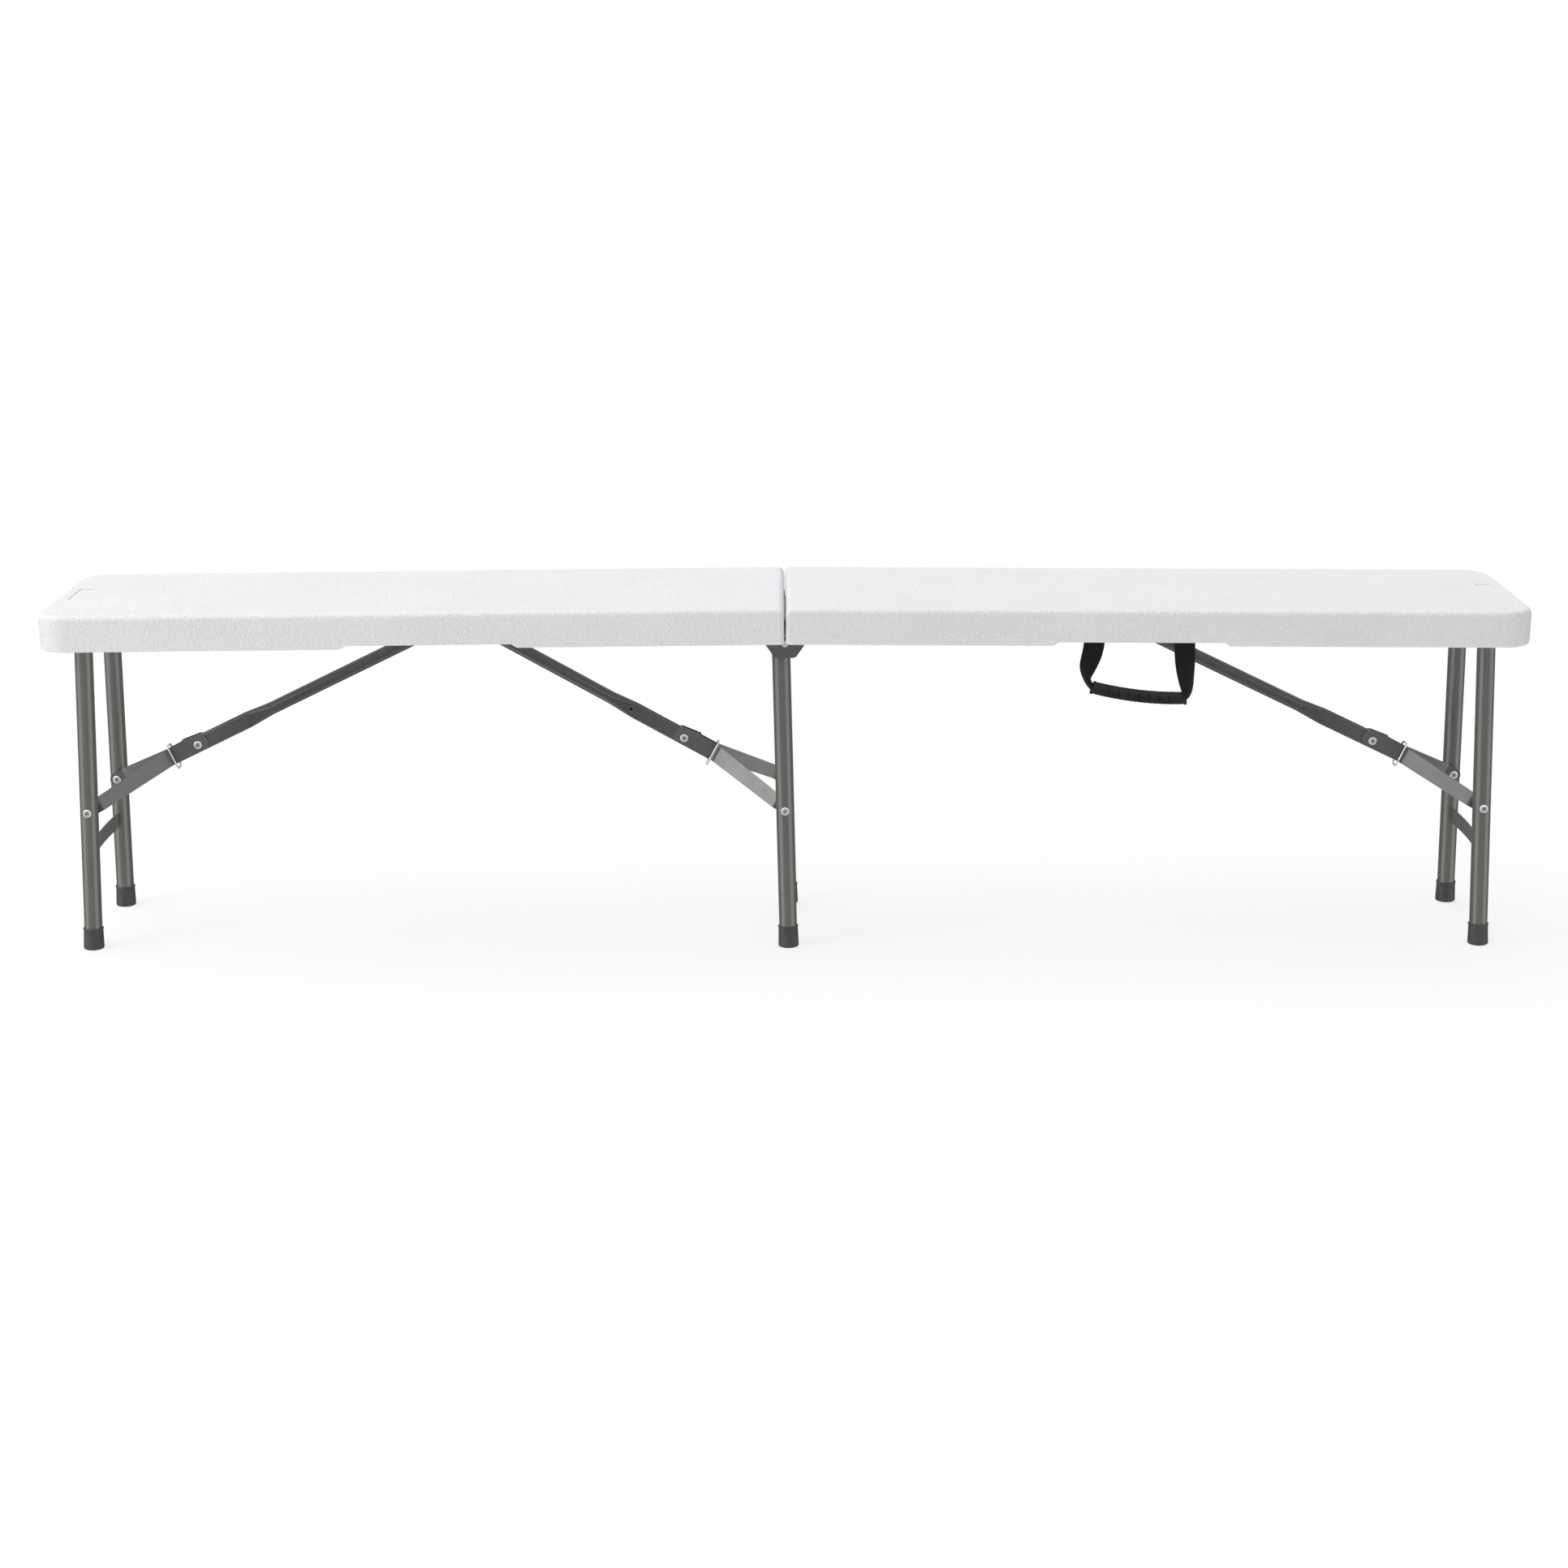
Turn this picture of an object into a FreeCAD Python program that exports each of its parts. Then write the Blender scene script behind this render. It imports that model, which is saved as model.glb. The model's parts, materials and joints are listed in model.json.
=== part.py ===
import FreeCAD, Part
import math
import os

"""Six foot fold-in-half bench: two hollow moulded seat halves on a centre hinge, three folding leg
frames, each with a two-piece brace that breaks at an elbow and is locked straight by a sliding ring,
and a webbing carry handle. +X runs along the seat, -Y is the front, +Z is up, and the origin is on the
floor under the middle of the seat. Millimetres and degrees."""

Vec = FreeCAD.Vector
AXIS_Y = Vec(0, 1, 0)
AXIS_Z = Vec(0, 0, 1)

# ---- driving dimensions -------------------------------------------------------------------------
SEAT_HEIGHT = 445.0          # top of the seat at the centre split
SEAT_HALF = 915.0            # half of the seat's length
SEAT_WIDTH = 280.0
SEAT_DEPTH = 45.0            # thickness of the moulding at its rim
CAMBER = 0.444               # each half falls away from the centre by this angle
SPLIT_GAP = 2.0              # between the two halves
STOP_PROUD = 1.5             # pads on the left half's end wall, clear of the right half: they block the view
STOP_Y = (-130.0, -20.0, 112.0)      # rear end, step of the long pad, front end
STOP_Z = (5.0, 26.0, 28.5, 37.0)     # bottom of the outer pads, bottom, step and top of the long pad
RIM_WALL = 14.0
RECESS = 30.0                # depth of the underside pan inside the rim
SKIN = 3.0                   # wall of the hollow moulding
CORNER_PLAN = 38.0           # outer corners seen from above
CORNER_INNER = 5.0
EDGE_TOP = 7.0
EDGE_BOTTOM = 4.0
PAN_CORNER = 26.0
PAN_CORNER_INNER = 8.0
PAN_EDGE = 5.0

GRIP_NOTCH = (333.5, 535.5)  # raised part of the long rims, where a hand or the handle passes
GRIP_NOTCH_RISE = 5.2
GRIP_NOTCH_SLOPE = 8.0
END_PASS_HALF = 98.0         # the walls at the split stop short over this half width
END_PASS_RISE = 24.0
DIMPLE_PITCH = (58.0, 47.6)  # along, across
DIMPLE_FIRST = 52.2
DIMPLE_RADII = (9.6, 6.0)    # at the mouth, at the bottom
DIMPLE_DEPTH = 9.0
MARK_SIZE = (20.0, 72.0, 0.8)  # plain shallow panel moulded near each end of the seat
MARK_X = 887.0
MARK_CORNER = 6.0
AXLE_RIB = 12.0              # length of the ribs that stand on the end legs' axles

TUBE_D = 22.5
TUBE_WALL = 1.2
LEAN = 1.27                  # leg frames lean outboard
AXLE_D = 12.0
AXLE_RISE = 7.0              # leg axles above the rim plane
AXLE_Y = 74.1                # leg tube centres at the axle
FOOT_Y = 91.6                # leg tube centres at the floor
TUBE_ABOVE = 9.0
RIVET_Z = 177.7              # where the braces meet the legs, above the floor
END_PIVOT = 870.0
MIDDLE_PIVOT = 5.5
CROSS_BAR_Z = 121.5
CROSS_BAR = (1.6, 20.0)      # thickness, height
CROSS_BAR_BOW = 5.0
AXLE_PROUD = 0.6
AXLE_EDGE = 1.0

BRACE_D = 16.0
BRACE_RISE = 12.0            # brace pins above the rim plane
BRACE_PIVOT = 410.0
BRACE_FLAT = (7.3, 21.0)     # flattened section at the elbow: width, height
BRACE_TAIL = 44.0
FLAT_LENGTH = 72.0           # how far the flattened section runs from the elbow
FLAT_BLEND = 34.0
TAB = (2.6, 22.0)            # crushed end at the bracket: thickness, height
TAB_LENGTH = 20.0
TAB_BLEND = 25.0
TAB_END = 9.0
TAB_STEP = {"left": 1.65, "middle": 1.65, "right": 0.0}  # two tabs share the left bracket's pin
DRAIN_HOLE = (4.0, 77.0)     # in the front of the middle brace: diameter, distance from the elbow
BRACKET_PLATE = (70.0, 24.0)  # length, width
BRACKET_CORNER = 5.0
CHEEK_GAP = 7.0              # between the cheeks of a brace bracket
CHEEK_R = 9.0
CHEEK_FOOT = 30.0
YOKE = {"left": (140.95, 27.8), "middle": (147.62, 29.5), "right": (140.95, 27.8)}  # length, angle
ARM_THICK = 1.5
ARM_INNER = 3.95
ARM_PAD_OUTER = 71.55
ARM_HEIGHT = 21.2
ARM_LIFT = 2.0               # the arms stand this much above the line of their pivots
ARM_PARALLEL = 43.0
ARM_SPREAD_END = 13.0        # the arms are parallel again this far before the leg rivet
ARM_PAST_ELBOW = 14.0
ARM_END_ROUND = 8.5
ARM_BEND = 6.0
SHOULDER = (16.5, 1.7)       # bump on an arm's upper edge: distance from the elbow, height
PAD_RADIUS = 9.0
PIN_D = 6.0
PIN_PLAY = 0.06              # radial clearance where something turns
HEAD_D = 10.6
HEAD_T = 2.2
HEAD_EDGE = 1.3
HEAD_SINK = (4.6, 0.9)       # recess in a rivet head: diameter, depth

RING_WIRE = 2.4
RING_INSIDE = (17.0, 29.0)   # across, high
RING_BEND = 4.6
RING_TILT = 1.5
RING_AT = {"left": 36.0, "middle": 41.5, "right": 41.0}  # from the elbow towards the leg

HINGE_DROP = 8.0             # hinge pins below the rim plane
LEAF = 2.5
LEAF_Y = {-1: 90.0, 1: 93.0}  # inner face of the leaves of the left and right half
LEAF_SHAPE = [(-13, -25.5), (13, -25.5), (30, -1), (45, 8), (80, 8), (80, 30), (23.5, 30), (16.5, 23),
              (16.5, 8), (-15, 8), (-21.5, -12)]
LEAF_ROUND = 6.0
LEAF_FLANGE = (23.5, 80.0, 11.0)  # from, to, width
LEAF_SCREWS = (34.0, 66.0)
HINGE_PIN_D = 8.0

STRAP = 2.0                  # sheet steel of the saddles and brackets
SADDLE_Y = (43.5, 58.5)
SADDLE_FLANGE = 26.0         # half length of an end saddle's flange
SADDLE_SCREW = 17.0
MIDDLE_FLANGE = 36.0
MIDDLE_SCREW = 26.0
BEND_CUT = 7.0               # the middle saddles' bend stands clear of the pan's rounded edge
BRACKET_SCREW = 27.0
SCREW_D = 4.0
SCREW_HEAD = (8.0, 2.4)
SCREW_GRIP = 9.0
SCREW_EDGE = 1.2
BOSS_R = 5.5

FOOT_TALL = 27.0
FOOT_WALL_UNDER = 4.0        # rubber under the end of the tube
FOOT_RADII = (12.2, 12.9)    # below the lip, at the base
FOOT_LIP = (12.9, 2.6)       # radius, height
FOOT_ROUND = 3.0

HANDLE_X = (378.2, 488.9)
WEB = (25.4, 1.6)            # webbing width, thickness
HANDLE_Y = -124.8
HANDLE_RISE = 1.5            # fold line of the webbing above the rim plane
GRIP_LINE = ((377.3, -54.1), (436.0, -64.9), (493.0, -67.2))  # start, lowest part and end of its bow
GRIP_D = 15.6
HANDLE_SCREW_RISE = 14.0
# free edges of the two straps, from the rim down to the grip
STRAP_EDGES = ([(363.1, -12.3), (361.6, -25.7), (362.8, -34.0), (369.0, -50.3), (378.5, -60.0)],
               [(384.0, -52.0), (377.5, -44.0), (378.8, -35.1), (384.6, -23.5), (389.2, -10.2)],
               [(476.4, -3.8), (477.9, -20.9), (481.6, -40.0), (486.0, -59.0), (486.0, -67.0)],
               [(495.0, -66.0), (498.5, -63.5), (500.4, -58.0), (501.5, -45.5), (502.2, -15.0)])
TAB_PLAY = 0.35              # between a strap's upper end and its fold
TAB_ABOVE_SCREW = 9.0

LEGS = {"left": (-1, -1, END_PIVOT), "middle": (-1, 1, MIDDLE_PIVOT), "right": (1, 1, END_PIVOT)}
RIM_Z = SEAT_HEIGHT - SEAT_DEPTH
PAN_FACE = SEAT_WIDTH / 2 - RIM_WALL   # inner faces of the long rims

# ---- frames -------------------------------------------------------------------------------------


def place(shape, origin, side, tilt):
    """Put a shape drawn along +X into the model: turned about for side -1, then tilted nose down."""
    turn = FreeCAD.Rotation(AXIS_Z, 0 if side > 0 else 180)
    dip = FreeCAD.Rotation(AXIS_Y, side * tilt)
    placed = shape.copy()
    placed.Placement = FreeCAD.Placement(Vec(origin[0], 0, origin[1]), dip * turn) * shape.Placement
    return placed


def on_half(shape, half):
    """From a seat half's own frame (X out from the split, Z up from the rim plane) to the model."""
    return place(shape, (0, RIM_Z), half, CAMBER)


def half_point(half, along, rise):
    camber = math.radians(CAMBER)
    x = along * math.cos(camber) + rise * math.sin(camber)
    z = rise * math.cos(camber) - along * math.sin(camber)
    return (half * x, RIM_Z + z)


def linkage(leg):
    """Pivot points (x, z) of a leg frame at rest: axle, leg rivet, elbow and brace pin."""
    half, side, along = LEGS[leg]
    lean = math.radians(LEAN)
    axle = half_point(half, along, AXLE_RISE)
    down = (axle[1] - RIVET_Z) / math.cos(lean)
    rivet = (axle[0] + side * down * math.sin(lean), RIVET_Z)
    length, angle = YOKE[leg]
    slope = math.radians(angle)
    elbow = (rivet[0] - side * length * math.cos(slope), rivet[1] + length * math.sin(slope))
    return {"axle": axle, "rivet": rivet, "elbow": elbow, "pin": half_point(half, BRACE_PIVOT, BRACE_RISE)}


def brace_line(leg):
    """Length of the brace between its pin and the elbow, and its slope."""
    points = linkage(leg)
    run = abs(points["elbow"][0] - points["pin"][0])
    drop = points["pin"][1] - points["elbow"][1]
    return math.hypot(run, drop), math.degrees(math.atan2(drop, run))


def on_leg(shape, leg):
    return place(shape, linkage(leg)["axle"], LEGS[leg][1], -LEAN)


def on_brace(shape, leg):
    return place(shape, linkage(leg)["pin"], LEGS[leg][1], brace_line(leg)[1])


def on_yoke(shape, leg):
    return place(shape, linkage(leg)["elbow"], LEGS[leg][1], YOKE[leg][1])


def front_sign(side):
    """Sign of Y, before a frame is turned about, that ends up at the front of the bench."""
    return -side


# ---- small building blocks ----------------------------------------------------------------------


def box(x0, x1, y0, y1, z0, z1):
    return Part.makeBox(x1 - x0, y1 - y0, z1 - z0, Vec(x0, y0, z0))


def rod_y(diameter, x, z, y0, y1):
    return Part.makeCylinder(diameter / 2, y1 - y0, Vec(x, y0, z), AXIS_Y)


def rod_z(diameter, x, y, z0, z1):
    return Part.makeCylinder(diameter / 2, z1 - z0, Vec(x, y, z0), AXIS_Z)


def prism_y(outline, y0, y1):
    """Extrude a closed outline of (x, z) points along Y."""
    points = [Vec(x, y0, z) for x, z in outline]
    return Part.Face(Part.makePolygon(points + points[:1])).extrude(Vec(0, y1 - y0, 0))


def prism_z(outline, z0, z1):
    points = [Vec(x, y, z0) for x, y in outline]
    return Part.Face(Part.makePolygon(points + points[:1])).extrude(Vec(0, 0, z1 - z0))


def edges_where(shape, test):
    return [edge for edge in shape.Edges if test(edge)]


def runs_along(edge, axis):
    """Whether a straight edge is parallel to an axis."""
    if not isinstance(edge.Curve, Part.Line):
        return False
    return abs(abs(edge.tangentAt(edge.FirstParameter).dot(axis)) - 1) < 1e-6


def at_height(edge, z):
    return abs(edge.BoundBox.ZMin - z) < 1e-4 and abs(edge.BoundBox.ZMax - z) < 1e-4


def both_sides(make):
    """A pair of solids, one each side of the centre line: make(sign) draws one."""
    return Part.makeCompound([make(sign) for sign in (-1, 1)])


def y_span(sign, near, far):
    return (near, far) if sign > 0 else (-far, -near)


# ---- seat halves --------------------------------------------------------------------------------


def rounded_slab(x0, x1, half_width, z0, z1, outer_corner, inner_corner):
    slab = box(x0, x1, -half_width, half_width, z0, z1)
    outer = edges_where(slab, lambda e: runs_along(e, AXIS_Z) and e.CenterOfMass.x > (x0 + x1) / 2)
    slab = slab.makeFillet(outer_corner, outer)
    inner = edges_where(slab, lambda e: runs_along(e, AXIS_Z) and abs(e.CenterOfMass.x - x0) < 1e-4)
    return slab.makeFillet(inner_corner, inner)


def moulding(inset):
    """Outside of a seat half, or the same shape shrunk by an inset."""
    slab = rounded_slab(SPLIT_GAP / 2 + inset, SEAT_HALF - inset, SEAT_WIDTH / 2 - inset, inset,
                        SEAT_DEPTH - inset, CORNER_PLAN - inset, max(CORNER_INNER - inset, 2.0))
    top = edges_where(slab, lambda e: at_height(e, SEAT_DEPTH - inset))
    slab = slab.makeFillet(EDGE_TOP - inset, top)
    bottom = edges_where(slab, lambda e: at_height(e, inset))
    return slab.makeFillet(max(EDGE_BOTTOM - inset, 1.0), bottom)


def pan(grow):
    """The underside pan inside the rim, or the same space grown by a skin."""
    x0 = SPLIT_GAP / 2 + RIM_WALL - grow
    pan_slab = rounded_slab(x0, SEAT_HALF - RIM_WALL + grow, SEAT_WIDTH / 2 - RIM_WALL + grow, -10,
                            RECESS + grow, PAN_CORNER + grow, PAN_CORNER_INNER + grow)
    ceiling = edges_where(pan_slab, lambda e: at_height(e, RECESS + grow))
    return pan_slab.makeFillet(PAN_EDGE + grow, ceiling)


def grip_notches(grow):
    """Raised stretch of both long rims."""
    x0, x1 = GRIP_NOTCH
    slope = GRIP_NOTCH_SLOPE
    rise = GRIP_NOTCH_RISE + grow
    outline = [(x0 - slope - grow, -1), (x0 - slope - grow, 0), (x0 - grow, rise), (x1 + grow, rise),
               (x1 + slope + grow, 0), (x1 + slope + grow, -1)]
    reach = SEAT_WIDTH / 2 + 1
    return both_sides(lambda sign: prism_y(outline, *y_span(sign, SEAT_WIDTH / 2 - RIM_WALL - 6, reach)))


def end_pass(grow):
    """Opening through the low part of the wall at the split, for the middle leg and the hinges."""
    side = END_PASS_HALF + grow
    return box(-1, SPLIT_GAP / 2 + RIM_WALL + 6, -side, side, -1, END_PASS_RISE + grow)


def dimple_places(blocked):
    """Centres of the moulded dimples, on a grid that skips the places where something is fixed."""
    step_x, step_y = DIMPLE_PITCH
    for column in range(int((SEAT_HALF - step_x) / step_x)):
        for row in (-2, -1, 0, 1, 2):
            x = DIMPLE_FIRST + column * step_x
            y = row * step_y
            if not any(abs(x - bx) < sx and abs(abs(y) - by) < sy for bx, sx, by, sy in blocked):
                yield x, y


def dimples(blocked, grow):
    mouth, bottom = DIMPLE_RADII
    start = RECESS - 2
    height = RECESS + DIMPLE_DEPTH + grow - start
    cones = [Part.makeCone(mouth + grow, bottom + grow, height, Vec(x, y, start), AXIS_Z)
             for x, y in dimple_places(blocked)]
    return Part.makeCompound(cones)


def screw_places(half):
    """Centres (x, y) of every screw that goes up into a seat half."""
    places = []
    saddle_mid = sum(SADDLE_Y) / 2
    for sign in (-1, 1):
        places += [(END_PIVOT + step, sign * saddle_mid) for step in (-SADDLE_SCREW, SADDLE_SCREW)]
        if half < 0:
            places.append((MIDDLE_PIVOT + MIDDLE_SCREW, sign * saddle_mid))
        places += [(along, sign * (LEAF_Y[half] - 5)) for along in LEAF_SCREWS]
    places += [(BRACE_PIVOT + step, 0.0) for step in (-BRACKET_SCREW, BRACKET_SCREW)]
    return places


def axle_ribs(half):
    """Moulded ribs that stand on the leg axles, between the arms of the saddles."""
    ribs = []
    low = AXLE_RISE + AXLE_D / 2 + PIN_PLAY
    for sign in (-1, 1):
        y0, y1 = y_span(sign, SADDLE_Y[0] + 0.5, SADDLE_Y[1] - 0.5)
        ribs.append(box(END_PIVOT - AXLE_RIB / 2, END_PIVOT + AXLE_RIB / 2, y0, y1, low, RECESS + 1))
        if half < 0:
            ribs.append(box(SPLIT_GAP / 2 + 1, SPLIT_GAP / 2 + RIM_WALL, y0, y1, low, END_PASS_RISE + 1))
    return ribs


def stop_pads():
    """Pads on the wall at the split: a long one above the opening, and one at each side of it."""
    x0, x1 = SPLIT_GAP / 2 - STOP_PROUD, SPLIT_GAP / 2 + 1
    rear, step, front = STOP_Y
    low, middle, ledge, high = STOP_Z
    inner = END_PASS_HALF + 2
    return [box(x0, x1, rear, front, middle, ledge), box(x0, x1, rear, step, middle, high),
            box(x0, x1, inner, front, low, middle), box(x0, x1, rear, -inner, low, middle)]


def seat_half(half):
    blocked = [(END_PIVOT, 45, 51, 26), (BRACE_PIVOT, 52, 0, 30), (48, 42, 84, 24), (30, 30, 51, 26),
               (HANDLE_X[0], 40, 110, 14), (HANDLE_X[1], 40, 110, 14)]
    shell = moulding(0).cut(pan(0)).cut(grip_notches(0)).cut(end_pass(0))
    shell = shell.fuse(axle_ribs(half) + (stop_pads() if half < 0 else [])).cut(dimples(blocked, 0))
    x_size, y_size, deep = MARK_SIZE
    mark = box(MARK_X - x_size / 2, MARK_X + x_size / 2, -y_size / 2, y_size / 2, SEAT_DEPTH - deep, 60)
    shell = shell.cut(mark.makeFillet(MARK_CORNER, edges_where(mark, lambda e: runs_along(e, AXIS_Z))))
    hollow = moulding(SKIN).cut(pan(SKIN)).cut(grip_notches(SKIN)).cut(end_pass(SKIN))
    hollow = hollow.cut(dimples(blocked, SKIN))
    for x, y in screw_places(half):
        hollow = hollow.cut(rod_z(2 * BOSS_R, x, y, 0, SEAT_DEPTH))
        shell = shell.cut(rod_z(SCREW_D, x, y, RECESS - 1, RECESS + SCREW_GRIP))
    if half > 0:
        for x in HANDLE_X:
            shell = shell.cut(rod_y(SCREW_D, x, HANDLE_SCREW_RISE, -(PAN_FACE + SCREW_GRIP), -PAN_FACE + 1))
            hollow = hollow.cut(rod_y(2 * BOSS_R, x, HANDLE_SCREW_RISE, -SEAT_WIDTH / 2, -PAN_FACE + 4))
    return on_half(shell.cut(hollow).removeSplitter(), half)


def panel_screw(x, y, seat):
    head = rod_z(SCREW_HEAD[0], x, y, seat - SCREW_HEAD[1], seat)
    head = head.makeFillet(SCREW_EDGE, edges_where(head, lambda e: at_height(e, seat - SCREW_HEAD[1])))
    return head.fuse(rod_z(SCREW_D, x, y, seat, RECESS + SCREW_GRIP)).removeSplitter()


def panel_screws(half):
    seat = RECESS - STRAP
    return on_half(Part.makeCompound([panel_screw(x, y, seat) for x, y in screw_places(half)]), half)


# ---- leg frames ---------------------------------------------------------------------------------


def splay_tangent(leg):
    return (FOOT_Y - AXLE_Y) / linkage(leg)["axle"][1]


def tube_axis(leg, sign):
    """A point on a leg tube's centre line at the axle's level, and its direction down to the foot."""
    spread = math.atan(splay_tangent(leg))
    return Vec(0, sign * AXLE_Y, 0), Vec(0, sign * math.sin(spread), -math.cos(spread))


def along_tube(leg, sign, radius, start, end):
    origin, down = tube_axis(leg, sign)
    return Part.makeCylinder(radius, end - start, origin + down * start, down)


def floor_reach(leg):
    """Length of a leg tube's centre line from the axle's level to the floor."""
    spread = math.atan(splay_tangent(leg))
    return linkage(leg)["axle"][1] / math.cos(math.radians(LEAN)) / math.cos(spread)


def rivet_drop(leg):
    points = linkage(leg)
    return math.hypot(points["axle"][0] - points["rivet"][0], points["axle"][1] - points["rivet"][1])


def tube_centre(leg, drop):
    """Distance of a leg tube's centre line from the middle plane, a given way below the axle."""
    return AXLE_Y + drop * splay_tangent(leg)


def leg_tube(leg, sign):
    radius = TUBE_D / 2
    tube_end = floor_reach(leg) - FOOT_WALL_UNDER
    tube = along_tube(leg, sign, radius, -TUBE_ABOVE, tube_end)
    tube = tube.cut(along_tube(leg, sign, radius - TUBE_WALL, -TUBE_ABOVE - 1, tube_end + 1))
    far = FOOT_Y + TUBE_D
    tube = tube.cut(rod_y(AXLE_D, 0, 0, *y_span(sign, 20, far)))
    return on_leg(tube.cut(rod_y(PIN_D, 0, -rivet_drop(leg), *y_span(sign, 20, far))), leg)


def leg_axle(leg):
    reach = AXLE_Y + TUBE_D / 2 + AXLE_PROUD
    axle = rod_y(AXLE_D, 0, 0, -reach, reach)
    rims = edges_where(axle, lambda e: abs(abs(e.CenterOfMass.y) - reach) < 1e-4)
    return on_leg(axle.makeFillet(AXLE_EDGE, rims), leg)


def cross_bar(leg):
    """Flat strip between the leg tubes, bowed outboard so that the folded brace lies inside it."""
    thick, tall = CROSS_BAR
    drop = (linkage(leg)["axle"][1] - CROSS_BAR_Z) / math.cos(math.radians(LEAN))
    reach = tube_centre(leg, drop)
    low = -drop - tall / 2

    def bow(shift):
        ends = [Vec(shift, sign * reach, low) for sign in (-1, 1)]
        return Part.Arc(ends[0], Vec(CROSS_BAR_BOW + shift, 0, low), ends[1]).toShape()

    inner, outer = bow(-thick / 2), bow(thick / 2)
    caps = [Part.makeLine(inner.valueAt(inner.ParameterRange[i]), outer.valueAt(outer.ParameterRange[i]))
            for i in (0, 1)]
    strip = Part.Face(Part.Wire(Part.__sortEdges__([inner, outer] + caps))).extrude(Vec(0, 0, tall))
    for sign in (-1, 1):
        strip = strip.cut(along_tube(leg, sign, TUBE_D / 2, 0, floor_reach(leg)))
    solids = sorted(strip.Solids, key=lambda solid: solid.Volume)
    return on_leg(solids[-1], leg)


def foot(leg, sign):
    """Rubber cap: a thin lip, nearly straight sides and a rounded base, cut flat on the floor."""
    reach = floor_reach(leg)
    under = -1.0                 # the base is made this much too long, then cut at the floor
    neck, base = FOOT_RADII
    lip, lip_tall = FOOT_LIP
    turn = FOOT_ROUND * (1 - math.sqrt(0.5))
    mid_lip = FOOT_TALL - lip_tall / 2
    corner = Part.Arc(Vec(base - FOOT_ROUND, 0, under), Vec(base - turn, 0, under + turn),
                      Vec(base, 0, under + FOOT_ROUND)).toShape()
    bead = Part.Arc(Vec(neck, 0, FOOT_TALL - lip_tall), Vec(lip, 0, mid_lip),
                    Vec(neck, 0, FOOT_TALL)).toShape()
    rise = Part.makeLine(Vec(base, 0, under + FOOT_ROUND), Vec(neck, 0, FOOT_TALL - lip_tall))
    core = Part.makePolygon([Vec(neck, 0, FOOT_TALL), Vec(0, 0, FOOT_TALL), Vec(0, 0, under),
                             Vec(base - FOOT_ROUND, 0, under)])
    cap = Part.Face(Part.Wire([corner, rise, bead] + core.Edges)).revolve(Vec(0, 0, 0), AXIS_Z, 360)
    origin, down = tube_axis(leg, sign)
    cap.Placement = FreeCAD.Placement(origin + down * reach, FreeCAD.Rotation(AXIS_Z, down * -1))
    cap = cap.cut(along_tube(leg, sign, TUBE_D / 2, reach - FOOT_TALL - 5, reach - FOOT_WALL_UNDER))
    placed = on_leg(cap, leg)
    return placed.cut(box(-2000, 2000, -500, 500, -20, 0))


def button_head(x, z, face, out):
    """Domed rivet head with a sunk centre, on the face at Y = face, standing towards out."""
    head = rod_y(HEAD_D, x, z, *sorted((face, face + out * HEAD_T)))
    rim = edges_where(head, lambda e: abs(e.CenterOfMass.y - face - out * HEAD_T) < 1e-4)
    head = head.makeFillet(HEAD_EDGE, rim)
    width, depth = HEAD_SINK
    return head.cut(rod_y(width, x, z, *sorted((face + out * (HEAD_T - depth), face + out * (HEAD_T + 1)))))


def leg_rivet(leg, sign):
    """Rivet through a leg tube, headed outside; its inner end stops at the tube's inner side."""
    drop = rivet_drop(leg)
    centre = tube_centre(leg, drop)
    face = sign * (centre + TUBE_D / 2 - 0.4)
    inside = sign * (centre - TUBE_D / 2 + 0.2)
    shank = rod_y(PIN_D, 0, -drop, *sorted((face, inside)))
    head = button_head(0, -drop, face, sign).cut(along_tube(leg, sign, TUBE_D / 2, 0, floor_reach(leg)))
    return on_leg(shank.fuse(head).removeSplitter(), leg)


def axle_saddles(leg):
    """Sheet steel saddles that hold a leg's axle up against the moulded ribs."""
    half, side, along = LEGS[leg]
    bore = AXLE_D + 2 * PIN_PLAY
    inner, outer = bore / 2, bore / 2 + STRAP
    rise = AXLE_RISE

    def saddle(sign):
        y0, y1 = y_span(sign, *SADDLE_Y)
        if leg == "middle":
            wall = SPLIT_GAP / 2 + RIM_WALL
            low, flange_end = rise - STRAP, along + MIDDLE_FLANGE
            under = STRAP * math.tan(math.pi / 8)
            strip = [(along + inner, low), (wall + STRAP, low), (wall + STRAP, RECESS - BEND_CUT - under),
                     (wall + BEND_CUT + under, RECESS - STRAP), (flange_end, RECESS - STRAP),
                     (flange_end, RECESS), (wall + BEND_CUT, RECESS), (wall, RECESS - BEND_CUT),
                     (wall, rise), (along + inner, rise)]
            body = box(along - outer, along - inner, y0, y1, rise, rise + 5)
            body = body.fuse([rod_y(2 * outer, along, rise, y0, y1), prism_y(strip, y0, y1)])
            body = body.cut(box(along - inner, wall, y0 - 1, y1 + 1, rise, RECESS + 1))
        else:
            body = box(along - outer, along + outer, y0, y1, rise, RECESS)
            flange = box(along - SADDLE_FLANGE, along + SADDLE_FLANGE, y0, y1, RECESS - STRAP, RECESS)
            body = body.fuse([rod_y(2 * outer, along, rise, y0, y1), flange])
            body = body.cut(box(along - inner, along + inner, y0 - 1, y1 + 1, rise, RECESS + 1))
        body = body.cut(rod_y(bore, along, rise, y0 - 1, y1 + 1))
        for x, y in screw_places(half):
            body = body.cut(rod_z(SCREW_D, x, y, RECESS - STRAP - 1, RECESS + 1))
        return body.removeSplitter()

    return on_half(both_sides(saddle), half)


# ---- braces -------------------------------------------------------------------------------------


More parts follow.
